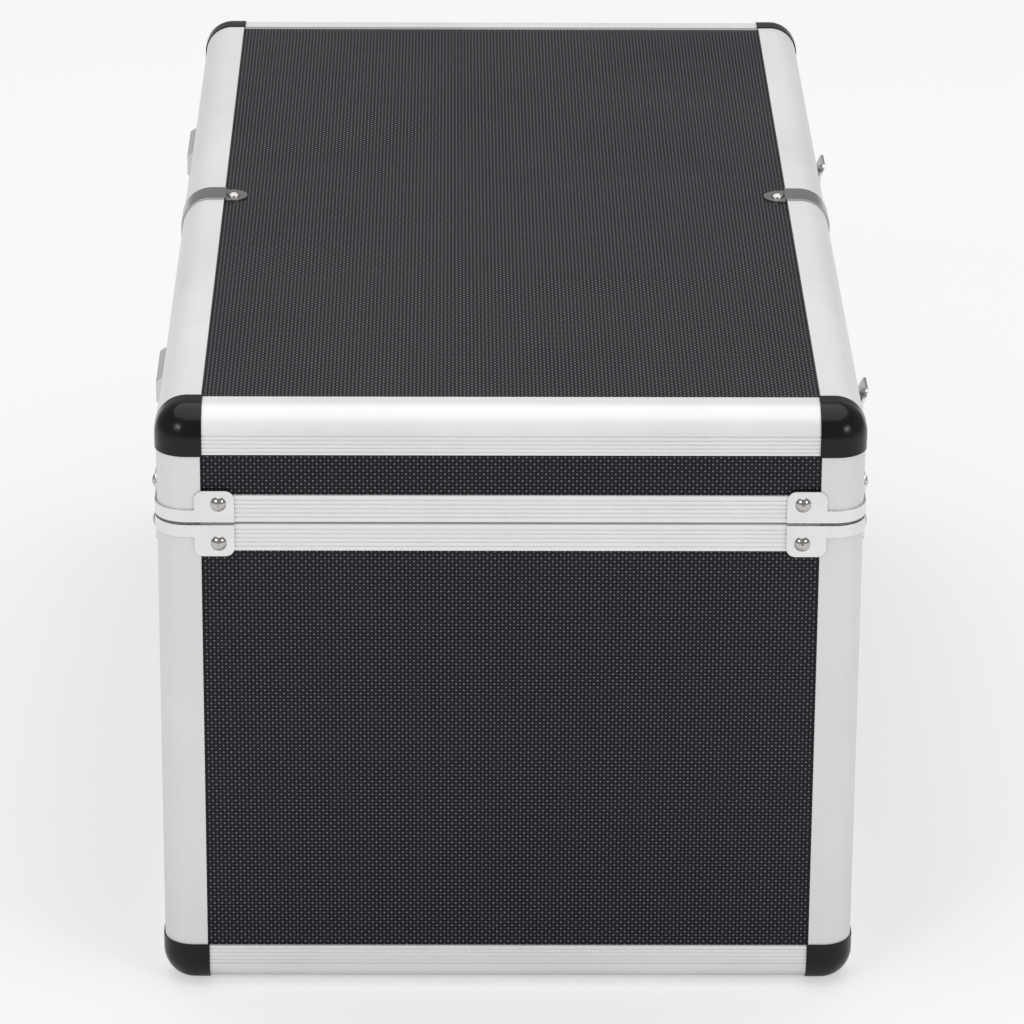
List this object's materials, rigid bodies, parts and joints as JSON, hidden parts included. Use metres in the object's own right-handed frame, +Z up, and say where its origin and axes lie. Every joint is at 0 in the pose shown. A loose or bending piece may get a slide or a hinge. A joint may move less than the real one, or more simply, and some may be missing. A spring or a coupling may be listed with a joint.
{
  "type": "record carrying case",
  "caption": "Aluminium-framed record carrying case: dotted black panels, ball corners, hinged lid on sliding stays, flap latches with key locks and a swinging carry handle.",
  "frame": {"origin": "middle of the footprint on the floor, under the centre of the case; the corner caps stand on z = 0", "axes": "+Z up, length along Y, latches and handle on the +X long side, hinges on the -X long side"},
  "size_m": [0.3997, 0.7152, 0.3411],
  "materials": {
    "board": "dot-embossed laminate",
    "rail": "satin anodised",
    "cap": "gloss",
    "steel": "bright plated",
    "grip": "fine satin",
    "foam": "foam",
    "felt": "felt"
  },
  "bodies": {
    "case_body": {"bottom_panel": "board", "latch_side_wall": "board", "hinge_side_wall": "board", "near_wall": "board", "far_wall": "board", "bottom_rail_hinge_side": "rail", "bottom_rail_latch_side": "rail", "bottom_rail_near": "rail", "bottom_rail_far": "rail", "body_post_near_hinge": "rail", "body_post_near_latch": "rail", "body_post_far_hinge": "rail", "body_post_far_latch": "rail", "body_rim_hinge_side": "rail", "body_rim_latch_side": "rail", "body_rim_near": "rail", "body_rim_far": "rail", "bottom_caps": "cap", "body_clips": "steel", "body_rivets": "steel", "hinge_body_leaves": "steel", "hinge_pins": "steel", "latch_bases": "steel", "latch_pins": "steel", "handle_plate": "steel", "handle_pins": "steel", "stay_body_studs": "steel", "floor_pad": "foam", "wall_lining": "felt"},
    "lid": {"lid_panel": "board", "lid_strip_latch_side": "board", "lid_strip_hinge_side": "board", "lid_strip_near": "board", "lid_strip_far": "board", "top_rail_hinge_side": "rail", "top_rail_latch_side": "rail", "top_rail_near": "rail", "top_rail_far": "rail", "lid_posts": "rail", "lid_rim_hinge_side": "rail", "lid_rim_latch_side": "rail", "lid_rim_near": "rail", "lid_rim_far": "rail", "lid_caps": "cap", "lid_clips": "steel", "lid_rivets": "steel", "straps": "steel", "hinge_lid_leaves": "steel", "latch_keepers": "steel", "stay_lid_studs": "steel", "lid_pad": "foam"},
    "latch_near": {"latch_flap_near": "steel"},
    "latch_far": {"latch_flap_far": "steel"},
    "lock_near": {"lock_plug_near": "steel"},
    "lock_far": {"lock_plug_far": "steel"},
    "handle": {"handle_bail": "steel", "handle_grip": "grip"},
    "stay_near": {"stay_arm_near": "steel"},
    "stay_far": {"stay_arm_far": "steel"}
  },
  "joints": [
    {"name": "lid_hinge", "type": "hinge", "parent": "case_body", "child": "lid", "pos_m": [-0.193, 0, 0.2762], "axis": [0, -1, 0], "range_deg": [0, 95]},
    {"name": "latch_near_turn", "type": "hinge", "parent": "case_body", "child": "latch_near", "pos_m": [0.1947, -0.195, 0.2362], "axis": [0, 1, 0], "range_deg": [0, 110]},
    {"name": "latch_far_turn", "type": "hinge", "parent": "case_body", "child": "latch_far", "pos_m": [0.1947, 0.195, 0.2362], "axis": [0, 1, 0], "range_deg": [0, 110]},
    {"name": "lock_near_turn", "type": "hinge", "parent": "latch_near", "child": "lock_near", "pos_m": [0.1972, -0.195, 0.2602], "axis": [1, 0, 0], "range_deg": [0, 90]},
    {"name": "lock_far_turn", "type": "hinge", "parent": "latch_far", "child": "lock_far", "pos_m": [0.1972, 0.195, 0.2602], "axis": [-1, 0, 0], "range_deg": [0, 90]},
    {"name": "handle_swing", "type": "hinge", "parent": "case_body", "child": "handle", "pos_m": [0.1967, 0, 0.215], "axis": [0, -1, 0], "range_deg": [0, 95]},
    {"name": "stay_near_swing", "type": "hinge", "parent": "lid", "child": "stay_near", "pos_m": [-0.07468, -0.343, 0.2962], "axis": [0, 1, 0], "range_deg": [0, 47.5]},
    {"name": "stay_far_swing", "type": "hinge", "parent": "lid", "child": "stay_far", "pos_m": [-0.07468, 0.343, 0.2962], "axis": [0, 1, 0], "range_deg": [0, 47.5]}
  ],
  "couplings": [
    {"joint": "stay_near_swing", "follows": "lid_hinge", "ratio": 0.5},
    {"joint": "stay_far_swing", "follows": "lid_hinge", "ratio": 0.5}
  ]
}
